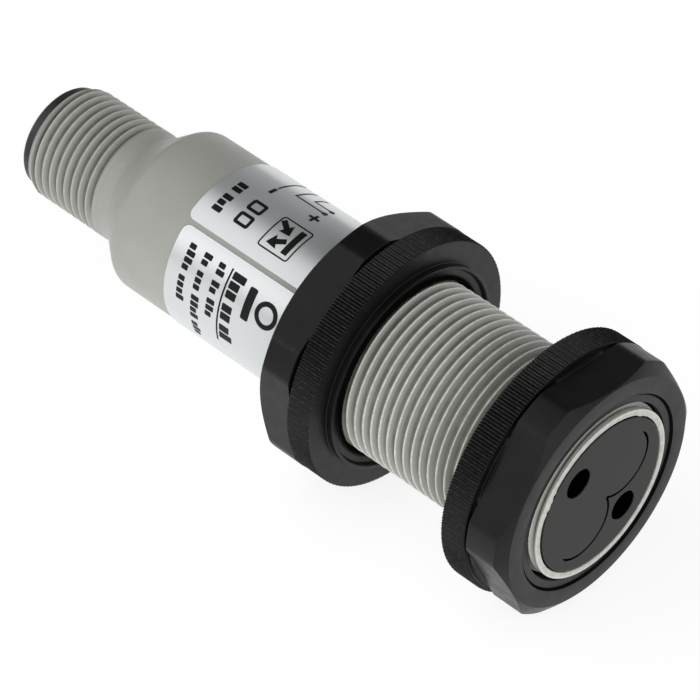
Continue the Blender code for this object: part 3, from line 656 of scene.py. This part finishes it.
def disc_look():
    """Smooth dark grey plastic with the faint waviness and hairlines of a handled surface."""
    look = Look("disc_grey", (0.011, 0.011, 0.0102), 0.24)
    mottle = look.spread(look.noise(3 * MM, 3.0), 0.3, 0.7)
    dust = look.spread(look.noise(0.12 * MM, 2.0), 0.7, 0.8, 0.0, 0.12)
    base = look.mix(mottle, (0.0105, 0.0106, 0.0096), (0.012, 0.0121, 0.011))
    base = look.mix(dust, base, (0.045, 0.045, 0.04))
    cut_depths = (0.03 * MM, 0.08 * MM)     # between which the face gives way to its holes and groove
    cut = look.spread(look.depth(), *cut_depths)
    # Below the face the colour goes near-black and the clear reflection goes: painted shade in the two holes
    # and in the groove, where it also stands for dirt.
    look.paint(look.mix(cut, base, (0.001, 0.001, 0.001)))
    look.shine(look.spread(look.depth(), *cut_depths, 0.12, 0.0))
    look.polish(look.spread(look.noise(0.8 * MM, 3.0), 0.3, 0.7, 0.21, 0.27))
    look.bump(look.noise(2.5 * MM, 1.0), 0.004 * MM)
    look.bump(look.noise(0.2 * MM, 2.0, (1.0, 1.0, 12.0)), 0.0006 * MM)
    return look.material


def film_look():
    """Silver film: fine metal particles in a smooth clear coat."""
    look = Look("label_silver", (0.71, 0.735, 0.745), 0.27, 0.6)
    tone = look.spread(look.noise(0.12 * MM, 2.0), 0.3, 0.7)
    look.paint(look.mix(tone, (0.70, 0.725, 0.735), (0.72, 0.745, 0.755)))
    return look.material


def ink_look():
    """Black screen print, slightly uneven in cover."""
    look = Look("print_black", (0.012, 0.012, 0.013), 0.45)
    cover = look.spread(look.noise(0.08 * MM, 3.0), 0.55, 0.8, 0.0, 0.2)
    look.paint(look.mix(cover, (0.003, 0.0035, 0.004), (0.04, 0.04, 0.042)))
    look.shine(0.22)
    look.polish(look.spread(look.noise(0.3 * MM), 0.3, 0.7, 0.42, 0.55))
    look.bump(look.noise(0.06 * MM, 2.0), 0.001 * MM)
    return look.material


def black_look(name, colour=(0.012, 0.012, 0.012), roughness=0.45):
    """Black moulded plastic with a fine grain and soft wear on its edges."""
    look = Look(name, colour, roughness)
    lighter = tuple(value * 1.8 + 0.004 for value in colour)
    tone = look.mix(look.spread(look.noise(1.5 * MM, 4.0), 0.3, 0.7), colour, lighter)
    breakup = look.spread(look.noise(0.3 * MM), 0.4, 0.7, 0.0, 0.4)
    paled_edges = look.maths("MULTIPLY", look.attribute("edge"), breakup)
    look.paint(look.mix(paled_edges, tone, (0.12, 0.12, 0.12)))
    look.polish(look.spread(look.noise(0.5 * MM, 4.0), 0.3, 0.7, roughness - 0.07, roughness + 0.08))
    look.bump(look.noise(0.1 * MM, 2.0), 0.005 * MM)
    return look.material


def plain_look(name, colour, roughness, metallic=0.0, grain=0.15, depth=0.003):
    """A slightly uneven colour and gloss, with a grain whose size and depth are in millimetres."""
    look = Look(name, colour, roughness, metallic)
    darker = tuple(value * 0.86 for value in colour)
    lighter = tuple(min(1.0, value * 1.1 + 0.002) for value in colour)
    look.paint(look.mix(look.spread(look.noise(10 * grain * MM, 4.0), 0.3, 0.7), darker, lighter))
    look.polish(look.spread(look.noise(3 * grain * MM, 3.0), 0.3, 0.7, roughness * 0.85, roughness * 1.15))
    look.bump(look.noise(grain * MM, 2.0), depth * MM)
    return look.material


HOUSING = housing_look()
NUT = nut_look()
DISC = disc_look()
FILM = film_look()
INK = ink_look()


def build_barrel():
    shell = add_piece("barrel_shell", barrel_mesh(), HOUSING, stands_for=["barrel_housing"])
    keep_flats_flat(shell)


def build_nuts():
    for name, roll, towards in (("front_nut", 23.5, 1), ("rear_nut", 4.1, -1)):
        mesh = nut_mesh(f"{name}_knurled", name, math.radians(roll), towards)
        nut = add_piece(f"{name}_knurled", mesh, NUT, name, [name])
        keep_flats_flat(nut)


def turned_piece(corners, columns, closed=False, steps=4):
    """A skin turned from (depth, radius, fillet) corners, capped at both ends unless they form a loop."""
    skin = Skin(columns)
    first, last = skin.run(rounded(corners, closed, steps))
    if closed:
        skin.bridge(last, first)
    else:
        skin.cap(first)
        skin.cap(last)
    return skin


def cut_piece(mesh, cutters, operation="DIFFERENCE"):
    """The mesh after Booleans with cutter meshes, which are then thrown away."""
    target = bpy.data.objects.new("target", mesh)
    bpy.context.scene.collection.objects.link(target)
    tools = []
    for cutter in cutters:
        tool = bpy.data.objects.new("tool", cutter)
        bpy.context.scene.collection.objects.link(tool)
        modifier = target.modifiers.new("cut", "BOOLEAN")
        modifier.object = tool
        modifier.operation = operation
        modifier.solver = "EXACT"
        tools.append(tool)
    bpy.context.view_layer.update()
    made = bpy.data.meshes.new_from_object(target.evaluated_get(bpy.context.evaluated_depsgraph_get()))
    for item in [target] + tools:
        bpy.data.objects.remove(item)
    made.shade_smooth()
    made.set_sharp_from_angle(angle=SMOOTH_ANGLE)
    return made


def shifted(mesh, y=0.0, z=0.0):
    """Brings a mesh out of the rolled frame, whose Y axis runs from the receiver to the emitter."""
    mesh.transform(Matrix.Rotation(ROLL, 4, "X") @ Matrix.Translation((0.0, y, z)))
    return mesh


def groove_mesh(side):
    """A tapering bar bent along one of the two arcs that meet in a cusp near the disc's centre."""
    arc_radius, centre_y, centre_z = 3.42 * MM, -0.36 * MM, 3.3 * MM
    half_width = 0.15 * MM
    cusp_angle = -math.asin(centre_z / arc_radius)
    end_angle = math.radians(89)
    steps, sides = 48, 8
    bm = bmesh.new()
    rings = []
    for step in range(steps + 1):
        share = step / steps
        angle = cusp_angle + (end_angle - cusp_angle) * share
        width = half_width * min(1.0, 9 * (1 - share) + 0.4)
        outwards = Vector((0.0, -math.cos(angle), math.sin(angle) * side))
        centre = Vector((0.0, centre_y, side * centre_z)) + outwards * arc_radius
        ring = []
        for corner in range(sides):
            turn = 2 * math.pi * (corner + 0.5) / sides
            spoke = outwards * math.cos(turn) + Vector((math.sin(turn), 0, 0))
            ring.append(bm.verts.new(centre + spoke * width))
        rings.append(ring)
    for first, second in zip(rings, rings[1:]):
        for corner in range(sides):
            beyond = (corner + 1) % sides
            bm.faces.new((first[corner], first[beyond], second[beyond], second[corner]))
    bm.faces.new(rings[0])
    bm.faces.new(rings[-1])
    return shifted(finish_mesh(bm, "groove"))


def build_disc():
    """Face disc with two holes and a groove of two arcs. Its flat sides are shaded flat."""
    front, rear = depths("front_disc")
    radius = outer_radius("front_disc")
    skin = turned_piece([
        (front, 0.01 * MM, 0), (front, radius, 0.12 * MM), (rear, radius, 0.1 * MM), (rear, 0.01 * MM, 0),
    ], 180)
    cutters = [groove_mesh(side) for side in (-1, 1)]
    hole, flare, offset = 1.48 * MM, 0.07 * MM, 5.0 * MM
    for side in (-1, 1):
        bore = turned_piece([
            (-MM, hole + flare + MM, 0), (0.0, hole + flare, 0),
            (flare, hole, 0.06 * MM), (rear + MM, hole, 0),
        ], 64)
        cutters.append(shifted(finish_mesh(bore.bm, "bore"), side * offset))
    mesh = cut_piece(finish_mesh(skin.bm, "front_disc_turned"), cutters)
    for face in mesh.polygons:
        face.use_smooth = abs(face.normal.x) < 0.9999
    add_piece("front_disc_turned", mesh, DISC, stands_for=["front_disc"])


class Print:
    """Flat shapes in a plane of depth and distance round the label, to be wrapped on the barrel."""

    def __init__(self, radius):
        self.bm = bmesh.new()
        self.radius = radius

    def round_the_barrel(self, degrees):
        return math.radians(degrees) * self.radius

    def fill(self, points):
        self.bm.faces.new([self.bm.verts.new((depth, along, 0.0)) for depth, along in points])

    def band(self, outer, inner):
        """The strip between two loops of equally many points."""
        outer = [self.bm.verts.new((depth, along, 0.0)) for depth, along in outer]
        inner = [self.bm.verts.new((depth, along, 0.0)) for depth, along in inner]
        for index in range(len(outer)):
            beyond = (index + 1) % len(outer)
            self.bm.faces.new((outer[index], outer[beyond], inner[beyond], inner[index]))

    def line(self, start, end, width):
        """A straight stroke with square ends."""
        start, end = Vector(start), Vector(end)
        along = (end - start).normalized() * width / 2
        across = Vector((-along.y, along.x))
        start, end = start - along, end + along
        self.fill([start + across, end + across, end - across, start - across])

    def wrap(self, name, thickness, step=0.35 * MM):
        """Cuts the shapes into narrow strips, wraps them and gives them a thickness below their radius."""
        places = [vertex.co.y for vertex in self.bm.verts]
        place = min(places) + step
        while place < max(places):
            geometry = self.bm.verts[:] + self.bm.edges[:] + self.bm.faces[:]
            bmesh.ops.bisect_plane(self.bm, geom=geometry, plane_co=(0, place, 0), plane_no=(0, 1, 0))
            place += step
        for vertex in self.bm.verts:
            angle = vertex.co.y / self.radius
            vertex.co = (-vertex.co.x, self.radius * math.cos(angle), self.radius * math.sin(angle))
        self.bm.normal_update()
        for face in self.bm.faces:
            centre = face.calc_center_median()
            if face.normal.dot(Vector((0.0, centre.y, centre.z))) < 0:
                face.normal_flip()
        bmesh.ops.solidify(self.bm, geom=self.bm.faces[:], thickness=thickness)
        return finish_mesh(self.bm, name)


def rounded_box(low, high, corner, steps=5):
    """Points of a rectangle with round corners, from its lowest to its highest (depth, along)."""
    points = []
    for quarter, (depth, along) in enumerate([
        (high[0] - corner, high[1] - corner), (low[0] + corner, high[1] - corner),
        (low[0] + corner, low[1] + corner), (high[0] - corner, low[1] + corner),
    ]):
        for step in range(steps + 1):
            angle = math.pi / 2 * (quarter + step / steps)
            points.append((depth + corner * math.cos(angle), along + corner * math.sin(angle)))
    return points


LABEL_OUTER = 8.655 * MM
LABEL_START = 128.6                 # degrees, where the film's first end lies
LABEL_TURN = 356.6                  # degrees that the film covers
LABEL_SKEW = 0.3 * MM               # how far the wrap runs off over its length


def build_label():
    """Silver film with round corners, wrapped a little askew, so that its two ends don't quite line up."""
    start, end = depths("label")
    film = Print(LABEL_OUTER)
    first = film.round_the_barrel(LABEL_START)
    last = film.round_the_barrel(LABEL_START + LABEL_TURN)
    corners = rounded_box((start, first), (end - 0.1 * MM - LABEL_SKEW, last), 0.8 * MM)
    film.fill([(depth + LABEL_SKEW * (along - first) / (last - first), along) for depth, along in corners])
    mesh = film.wrap("label_film", 0.075 * MM)
    add_piece("label_film", mesh, FILM, stands_for=["label"])


def printed_lines(ink, dice):
    """Lines of plain blocks, in words, in place of lettering."""
    lines = [   # depth of the top, height, first and last angle, width of a block
        (37.7, 1.6, 137, 188, 0.78), (40.2, 1.0, 137, 176, 0.55), (42.1, 1.0, 137, 202, 0.55),
        (44.0, 1.0, 137, 179, 0.55), (44.3, 1.1, 86, 118, 0.6),
    ]
    for top, height, first, last, block in lines:
        along = ink.round_the_barrel(first)
        end = ink.round_the_barrel(last)
        left = dice.randint(2, 4)
        while along + block * MM <= end:
            drop = 0.22 * height * MM * (dice.random() < 0.4)
            low = (top * MM + drop, along)
            high = ((top + height) * MM, along + block * MM)
            ink.fill(rounded_box(low, high, 0.1 * MM, 3))
            left -= 1
            along += (block + 0.16) * MM + (0.45 * MM if left == 0 else 0.0)
            if left == 0:
                left = dice.randint(2, 5)
    ink.line((39.6 * MM, ink.round_the_barrel(137)), (39.6 * MM, ink.round_the_barrel(189)), 0.2 * MM)


def printed_marks(ink):
    """A ring over a bar and two frames, in place of the maker's and the approval marks."""
    turn = ink.round_the_barrel
    centre = Vector((34.25 * MM, turn(150)))
    angles = [2 * math.pi * step / 40 for step in range(40)]
    spokes = [Vector((math.cos(angle), math.sin(angle))) * MM for angle in angles]
    ink.band([centre + spoke * 1.35 for spoke in spokes], [centre + spoke * 0.85 for spoke in spokes])
    ink.fill(rounded_box((36.05 * MM, turn(139)), (37.0 * MM, turn(161)), 0.2 * MM))
    stroke = 0.35 * MM
    for first in (91, 103):
        framed(ink, (40.9 * MM, turn(first)), (42.7 * MM, turn(first + 9.5)), stroke, (0.3 * MM, 0.1 * MM))


def framed(ink, low, high, stroke, corners):
    """A rectangular frame with the radii of its outer and its inner corners."""
    outer = rounded_box(low, high, corners[0])
    inner = rounded_box([value + stroke for value in low], [value - stroke for value in high], corners[1])
    ink.band(outer, inner)


def printed_arrow(ink, tail, head):
    """A short arrow, with a head about as wide as it is long."""
    tail, head = Vector(tail), Vector(head)
    along = (head - tail).normalized()
    across = Vector((-along.y, along.x))
    neck = head - along * 1.0 * MM
    ink.line(tail, neck, 0.58 * MM)
    ink.fill([head, neck + across * 0.78 * MM, neck - across * 0.78 * MM])


def printed_symbol(ink):
    """A framed symbol of light sent out and sent back by a surface."""
    turn = ink.round_the_barrel
    framed(ink, (35.3 * MM, turn(89.5)), (39.1 * MM, turn(116)), 0.16 * MM, (0.35 * MM, 0.19 * MM))
    ink.fill(rounded_box((35.8 * MM, turn(92.5)), (36.5 * MM, turn(112.5)), 0.05 * MM))
    printed_arrow(ink, (37.0 * MM, turn(105.5)), (38.45 * MM, turn(111.5)))
    printed_arrow(ink, (38.5 * MM, turn(94)), (37.0 * MM, turn(100.5)))


def printed_wiring(ink):
    """A plain wiring sketch: plus and minus, two terminals and the lines that lead from them."""
    turn = ink.round_the_barrel
    stroke, arm, dot = 0.2 * MM, 0.45 * MM, 0.3 * MM
    plus, minus, dots = 37.1 * MM, 42.5 * MM, 37.15 * MM    # depths
    ink.line((plus - arm, turn(78)), (plus + arm, turn(78)), 0.32 * MM)
    ink.line((plus, turn(78) - arm), (plus, turn(78) + arm), 0.32 * MM)
    ink.line((minus, turn(77.5) - dot), (minus, turn(77.5) + dot), 0.4 * MM)
    for angle, depth in ((68, 40.8 * MM), (61, 39.3 * MM)):
        ink.fill(rounded_box((dots - dot, turn(angle) - dot), (dots + dot, turn(angle) + dot), 0.28 * MM))
        ink.line((dots + dot / 2, turn(angle)), (depth, turn(angle)), stroke)
        ink.line((depth, turn(angle)), (depth, turn(47)), stroke)
    ink.line((minus, turn(72)), (minus, turn(45)), stroke)


def build_print():
    """The print, in four pieces that lie on the film."""
    sketches = {"label_print_lines": lambda ink: printed_lines(ink, random.Random(7)),
                "label_print_marks": printed_marks, "label_print_symbol": printed_symbol,
                "label_print_wiring": printed_wiring}
    for name, sketch in sketches.items():
        ink = Print(LABEL_OUTER + 0.012 * MM)
        sketch(ink)
        add_piece(name, ink.wrap(name, 0.02 * MM), INK)


def build_insert():
    """Black plug insert: floor with holes for the contacts, lining wall with the coding key, and rim."""
    start, end = depths("connector_insert")
    rim_depth, socket, floor = SLEEVE_END + 0.05 * MM, 4.35 * MM, 61.0 * MM
    skin = turned_piece([
        (start, 0.01 * MM, 0), (start, 4.85 * MM, 0.2 * MM), (rim_depth, 4.85 * MM, 0),
        (rim_depth, 5.39 * MM, 0.05 * MM), (end - 0.25 * MM, 5.39 * MM, 0.15 * MM),
        (end, 5.2 * MM, 0.1 * MM), (end, socket, 0.15 * MM),
        (floor, socket, 0.15 * MM), (floor, 0.01 * MM, 0),
    ], 120)
    key = bmesh.new()
    bmesh.ops.create_cube(key, size=1.0)
    bmesh.ops.scale(key, vec=(end - floor - 0.1 * MM, 1.1 * MM, 0.9 * MM), verts=key.verts)
    bmesh.ops.bevel(key, geom=key.edges[:], offset=0.12 * MM, segments=3, affect="EDGES", profile=0.5)
    bmesh.ops.translate(key, vec=(-(end + floor) / 2, 0.0, socket - 0.15 * MM), verts=key.verts)
    key_mesh = shifted(finish_mesh(key, "key"))
    mesh = cut_piece(finish_mesh(skin.bm, "insert_shell"), [key_mesh], "UNION")
    bores = []
    for y, z in contact_places():
        bore = turned_piece([(start - MM, 0.55 * MM, 0), (floor + MM, 0.55 * MM, 0)], 32)
        bores.append(shifted(finish_mesh(bore.bm, "bore"), y, z))
    mesh = cut_piece(mesh, bores)
    insert = add_piece("insert_shell", mesh, black_look("insert_black"),
                       stands_for=["connector_insert"])
    keep_flats_flat(insert)


def contact_places():
    """Corners of the contacts' 4 mm square in the rolled frame, in the order of the pin numbers."""
    return [(y * 2.0 * MM, z * 2.0 * MM) for y, z in ((-1, 1), (1, 1), (1, -1), (-1, -1))]


def build_contacts():
    look = plain_look("contact_gold", (0.83, 0.60, 0.27), 0.22, 1.0, 0.06, 0.0008)
    start, end = depths("contact_pin_1")
    for number, (y, z) in enumerate(contact_places(), 1):
        skin = turned_piece([
            (start + 1.4 * MM, 0.01 * MM, 0), (start + 1.4 * MM, 0.58 * MM, 0),
            (start, 0.58 * MM, 0.03 * MM),
            (start, 0.75 * MM, 0.05 * MM), (start + 2.1 * MM, 0.75 * MM, 0.1 * MM),
            (start + 2.1 * MM, 0.5 * MM, 0.05 * MM), (end - 0.7 * MM, 0.5 * MM, 0.3 * MM),
            (end, 0.26 * MM, 0.14 * MM), (end, 0.01 * MM, 0),
        ], 40)
        name = f"contact_{number}"
        mesh = shifted(finish_mesh(skin.bm, name), y, z)
        pin = add_piece(name, mesh, look, stands_for=[f"contact_pin_{number}"])
        keep_flats_flat(pin)


def dress_inner_parts():
    """Finishes for the CAD nodes that stay as they are, inside the barrel."""
    looks = {
        "seal_rubber": plain_look("seal_rubber", (0.02, 0.02, 0.02), 0.7),
        "holder_plastic": black_look("holder_black", (0.006, 0.006, 0.006), 0.75),
        "emitter_resin": plain_look("emitter_resin", (0.03, 0.02, 0.05), 0.2),
        "receiver_resin": plain_look("receiver_resin", (0.012, 0.008, 0.012), 0.2),
        "board": plain_look("board_green", (0.02, 0.16, 0.06), 0.35),
        "chip_plastic": plain_look("chip_black", (0.03, 0.03, 0.032), 0.55),
        "capacitor_body": plain_look("capacitor_orange", (0.6, 0.35, 0.05), 0.5),
        "ceramic_body": plain_look("ceramic_tan", (0.4, 0.28, 0.18), 0.4),
        "resistor_body": plain_look("resistor_black", (0.05, 0.05, 0.05), 0.4),
        "potting_resin": plain_look("potting_black", (0.03, 0.03, 0.035), 0.25),
        "wire_brown": plain_look("wire_brown", (0.16, 0.06, 0.02), 0.4),
        "wire_white": plain_look("wire_white", (0.8, 0.8, 0.78), 0.4),
        "wire_blue": plain_look("wire_blue", (0.02, 0.08, 0.4), 0.4),
        "wire_black": plain_look("wire_black", (0.015, 0.015, 0.015), 0.4),
    }
    for part in frame["record"]["subparts"]:
        look = looks.get(part["material_slot"])
        if look:
            for slot in frame["nodes"][part["node"]].material_slots:
                slot.material = look


def floor_look():
    """A pale table lit from below, so that the object's shadow on it stays faint."""
    look = Look("floor_pale", (0.3, 0.3, 0.3), 0.9)
    mottle = look.spread(look.noise(60 * MM), 0.3, 0.7)
    look.paint(look.mix(mottle, (0.295, 0.295, 0.295), (0.305, 0.305, 0.305)))
    look.shine(0.0)
    look.shader.inputs["Emission Color"].default_value = (1.0, 1.0, 1.0, 1.0)
    look.shader.inputs["Emission Strength"].default_value = 0.83
    return look.material


def build_floor():
    bm = bmesh.new()
    bmesh.ops.create_grid(bm, x_segments=1, y_segments=1, size=3.0)
    bmesh.ops.translate(bm, vec=(0.0, 0.0, -CORNER_RADIUS), verts=bm.verts)
    mesh = bpy.data.meshes.new("floor")
    bm.to_mesh(mesh)
    bm.free()
    floor = bpy.data.objects.new("floor", mesh)
    bpy.context.scene.collection.objects.link(floor)
    mesh.materials.append(floor_look())


def light_scene():
    """A light tent as a world: a faint glow, and patches of light that each fade out between two angles.

    The camera sees a plain bright backdrop in its place.
    """
    glow, backdrop = 0.094, 0.975
    patches = [     # direction, angles of full and of no effect, strength
        ((-0.50, -0.50, 0.70), 10, 48, 1.113),
        ((-0.45, -0.88, 0.12), 12, 42, 0.418),
        ((0.45, 0.85, 0.25), 15, 60, 0.569),
        ((-0.50, 0.87, 0.02), 5, 35, 0.185),
        ((0.90, -0.35, 0.20), 15, 55, 1.614),
    ]
    world = bpy.data.worlds.new("light_tent")
    bpy.context.scene.world = world
    world.use_nodes = True
    nodes, links = world.node_tree.nodes, world.node_tree.links
    towards = nodes.new("ShaderNodeTexCoord").outputs["Generated"]
    total = nodes.new("ShaderNodeValue").outputs[0]
    total.default_value = glow
    for direction, inner, outer, strength in patches:
        dot = nodes.new("ShaderNodeVectorMath")
        dot.operation = "DOT_PRODUCT"
        links.new(towards, dot.inputs[0])
        dot.inputs[1].default_value = Vector(direction).normalized()
        fade = nodes.new("ShaderNodeMapRange")
        fade.interpolation_type = "SMOOTHSTEP"
        fade.inputs["From Min"].default_value = math.cos(math.radians(outer))
        fade.inputs["From Max"].default_value = math.cos(math.radians(inner))
        fade.inputs["To Max"].default_value = strength
        links.new(dot.outputs["Value"], fade.inputs["Value"])
        add = nodes.new("ShaderNodeMath")
        links.new(total, add.inputs[0])
        links.new(fade.outputs["Result"], add.inputs[1])
        total = add.outputs[0]
    seen = nodes.new("ShaderNodeMix")
    links.new(nodes.new("ShaderNodeLightPath").outputs["Is Camera Ray"], seen.inputs[0])
    links.new(total, seen.inputs[2])
    seen.inputs[3].default_value = backdrop
    links.new(seen.outputs[0], nodes["Background"].inputs["Strength"])
    nodes["Background"].inputs["Color"].default_value = (1.0, 1.0, 1.0, 1.0)
    bpy.context.scene.view_settings.view_transform = "Standard"


CAMERA_PLACE = (0.1465, -0.1848, 0.2478)    # metres, in front of the sensing face and above it
CAMERA_AIM = (-0.4947, 0.5156, -0.6996)     # direction of view
CAMERA_LENS = 198.1                         # millimetres, for a sensor 36 mm wide


def place_camera():
    """A long lens above and to the left of the sensing face."""
    data = bpy.data.cameras.new("camera")
    data.lens = CAMERA_LENS
    data.sensor_width = 36.0
    data.clip_start = 0.01
    data.clip_end = 20.0
    camera = bpy.data.objects.new("camera", data)
    bpy.context.scene.collection.objects.link(camera)
    camera.location = CAMERA_PLACE
    camera.rotation_euler = Vector(CAMERA_AIM).to_track_quat("-Z", "Y").to_euler()
    bpy.context.scene.camera = camera


build_barrel()
build_nuts()
build_disc()
build_label()
build_print()
build_insert()
build_contacts()
dress_inner_parts()
build_floor()
light_scene()
place_camera()
